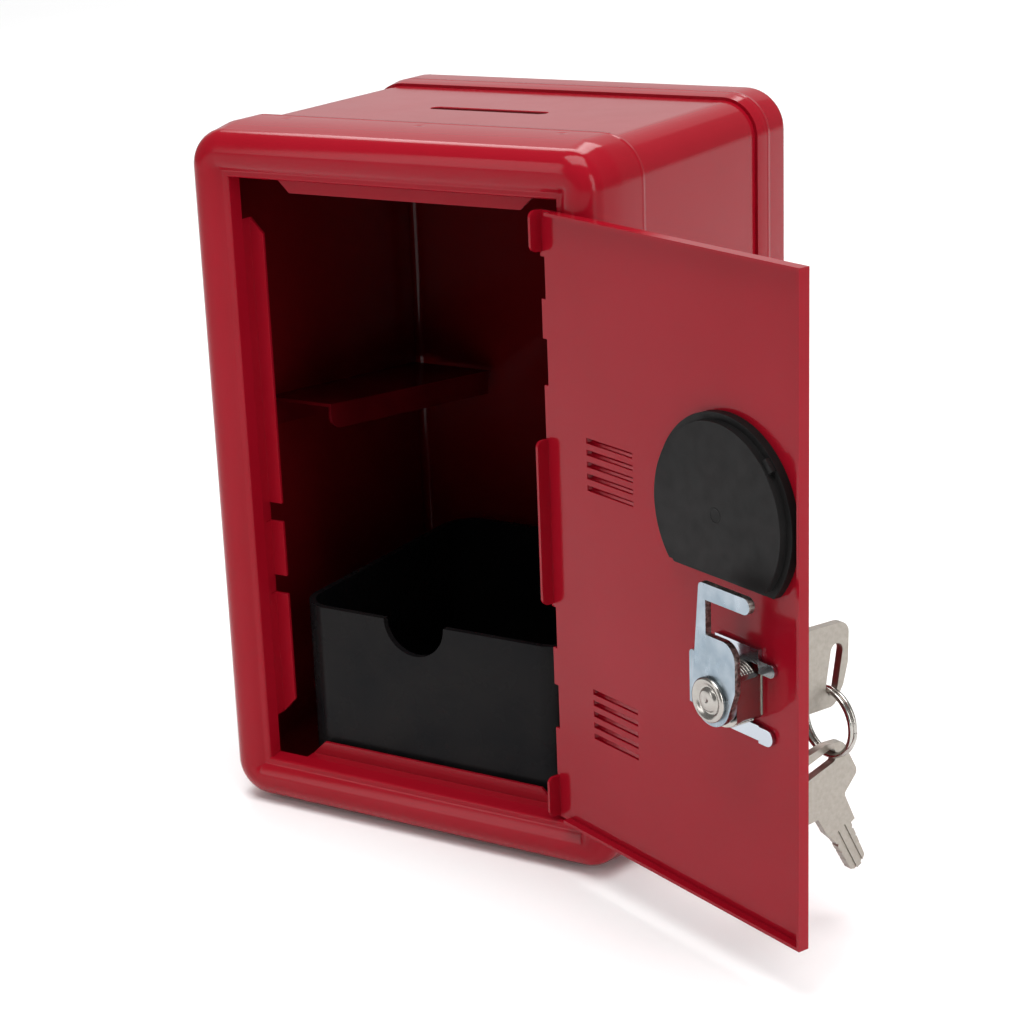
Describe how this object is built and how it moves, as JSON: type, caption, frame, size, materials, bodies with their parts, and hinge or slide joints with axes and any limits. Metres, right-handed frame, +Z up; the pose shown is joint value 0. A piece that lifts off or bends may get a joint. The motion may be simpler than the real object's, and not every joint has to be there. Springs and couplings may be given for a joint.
{
  "type": "toy safe coin bank",
  "caption": "Stamped steel toy safe with a hinged door, key lock and cam, turning dial, coin slot, side shelf, keys on a ring and a lift-out coin tray.",
  "frame": {"origin": "on the flat underside of the front frame's skirt, midway across the width", "axes": "+Z up, the front faces -Y, +X to the right as seen from the front"},
  "size_m": [0.1825, 0.1407, 0.18],
  "materials": {
    "red_paint": "gloss enamel",
    "black_plastic": "gloss moulded",
    "zinc": "bright zinc plate",
    "nickel": "nickel plate",
    "clip_steel": "polished",
    "pin_steel": "drawn",
    "brass": "satin",
    "white_plastic": "moulded",
    "dial_metal": "turned"
  },
  "bodies": {
    "case": {"front_frame": "red_paint", "body_shell": "red_paint", "back_panel": "red_paint", "side_shelf": "red_paint", "hinge_pin_upper": "pin_steel", "hinge_pin_lower": "pin_steel"},
    "door": {"door_panel": "red_paint", "dial_cover": "black_plastic", "dial_plate": "dial_metal", "click_spring": "brass", "lock_body": "nickel", "lock_clip": "clip_steel"},
    "dial": {"dial_knob": "dial_metal", "click_wheel": "white_plastic", "dial_screw": "pin_steel"},
    "key_and_cam": {"lock_plug": "nickel", "lock_wafers": "brass", "cam_washer": "zinc", "lock_cam": "zinc", "cam_retainer": "nickel", "key_in_lock": "nickel"},
    "ring": {"key_ring": "nickel"},
    "spare": {"spare_key": "nickel"},
    "coin_tray": {"tray": "black_plastic"}
  },
  "joints": [
    {"name": "door_hinge", "type": "hinge", "parent": "case", "child": "door", "pos_m": [0.04332, -0.0099, 0.09], "axis": [0, 0, 1], "range_deg": [-156.4, 0]},
    {"name": "dial_spin", "type": "hinge", "parent": "door", "child": "dial", "pos_m": [0.10393, -0.03107, 0.108], "axis": [-0.4003, -0.9164, 0], "continuous": true},
    {"name": "key_turn", "type": "hinge", "parent": "door", "child": "key_and_cam", "pos_m": [0.1063, -0.03865, 0.0692], "axis": [-0.4003, -0.9164, 0], "range_deg": [-90, 0]},
    {"name": "ring_swing", "type": "hinge", "parent": "key_and_cam", "child": "ring", "pos_m": [0.11567, -0.01721, 0.05988], "axis": [0.4003, 0.9164, 0], "range_deg": [-90, 20]},
    {"name": "spare_key_swing", "type": "hinge", "parent": "ring", "child": "spare", "pos_m": [0.11567, -0.01721, 0.04673], "axis": [0.9164, -0.4003, 0], "range_deg": [-30, 30]},
    {"name": "tray_lift", "type": "slide", "parent": "case", "child": "coin_tray", "axis": [0, 0, 1], "range_m": [0, 0.036]}
  ]
}
